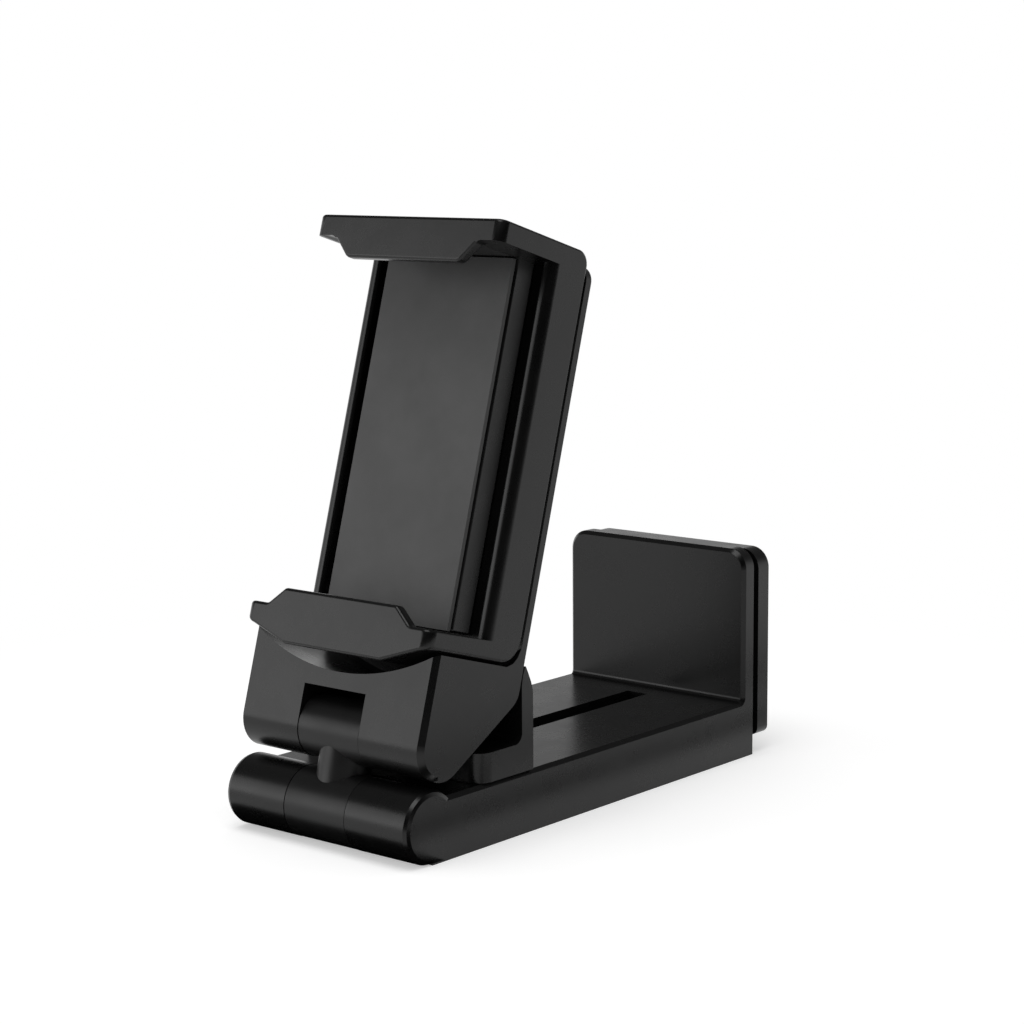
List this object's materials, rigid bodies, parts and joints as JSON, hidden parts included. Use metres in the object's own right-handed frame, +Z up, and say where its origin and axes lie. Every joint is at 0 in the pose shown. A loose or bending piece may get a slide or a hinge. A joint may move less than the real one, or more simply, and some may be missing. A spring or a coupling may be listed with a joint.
{
  "type": "clamp-on phone holder",
  "caption": "Folding phone holder with a spring edge clamp in its base, a round neck between two hinges and a turning spring clamp for a phone.",
  "frame": {"origin": "centre of the bounding box's underside, on the surface that the base stands on", "axes": "+Z up, +Y from the hinge to the clamp wall at the back, +X to the right seen from the front, where the phone is held"},
  "size_m": [0.042, 0.1042, 0.1048],
  "materials": {
    "housing_plastic": "black ABS, satin to semi-gloss moulded skin",
    "jaw_plastic": "black ABS, satin to semi-gloss moulded skin",
    "grip_rubber": "soft matt dark grey, faintly mottled",
    "pad_rubber": "soft matt black",
    "inner_plastic": "black, matt moulded",
    "steel": "zinc plated",
    "spring_steel": "close-wound wire",
    "brass_insert": "plain turned"
  },
  "bodies": {
    "base": {"base_housing": "housing_plastic", "bottom_cover": "inner_plastic", "cover_screws": "steel", "wall_pad": "pad_rubber", "lower_hinge_screw": "steel", "lower_hinge_insert": "brass_insert", "spring_pins": "steel", "clamp_springs": "spring_steel"},
    "clamp_slide": {"slide_bar": "inner_plastic", "outer_jaw": "jaw_plastic", "outer_jaw_pad": "pad_rubber", "thumb_pusher": "housing_plastic", "pusher_screw": "steel", "outer_jaw_screws": "steel"},
    "link": {"lower_knuckle": "inner_plastic", "upper_knuckle": "inner_plastic", "swivel_pin": "steel"},
    "bracket": {"rear_bracket": "housing_plastic", "upper_hinge_screw": "steel", "upper_hinge_insert": "brass_insert"},
    "phone_clamp": {"clamp_frame": "jaw_plastic", "pivot_cover": "inner_plastic", "pivot_cover_screws": "steel", "pivot_washer": "steel", "pivot_screw": "steel", "lower_jaw_pad": "pad_rubber", "phone_springs": "spring_steel"},
    "upper_jaw": {"clamp_slider": "jaw_plastic", "phone_pad": "grip_rubber", "upper_jaw_pad": "pad_rubber", "slider_keeper": "inner_plastic", "keeper_screw": "steel"}
  },
  "joints": [
    {"name": "lower_hinge", "type": "hinge", "parent": "base", "child": "link", "pos_m": [0, -0.04587, 0.00625], "axis": [1, 0, 0], "range_deg": [0, 180]},
    {"name": "upper_hinge", "type": "hinge", "parent": "link", "child": "bracket", "pos_m": [0, -0.04297, 0.01895], "axis": [1, 0, 0], "range_deg": [0, 95]},
    {"name": "clamp_turn", "type": "hinge", "parent": "bracket", "child": "phone_clamp", "pos_m": [0, -0.0279, 0.07029], "axis": [0, 0.9595, -0.2817], "range_deg": [-90, 90]},
    {"name": "phone_clamp_slide", "type": "slide", "parent": "phone_clamp", "child": "upper_jaw", "axis": [0, 0.2817, 0.9595], "range_m": [0, 0.025], "stiffness_N_per_m": 150, "springref_m": -0.03, "deforming": ["phone_springs"]},
    {"name": "base_clamp_slide", "type": "slide", "parent": "base", "child": "clamp_slide", "axis": [0, 1, 0], "range_m": [0, 0.038], "stiffness_N_per_m": 200, "springref_m": -0.03, "deforming": ["clamp_springs"]}
  ]
}
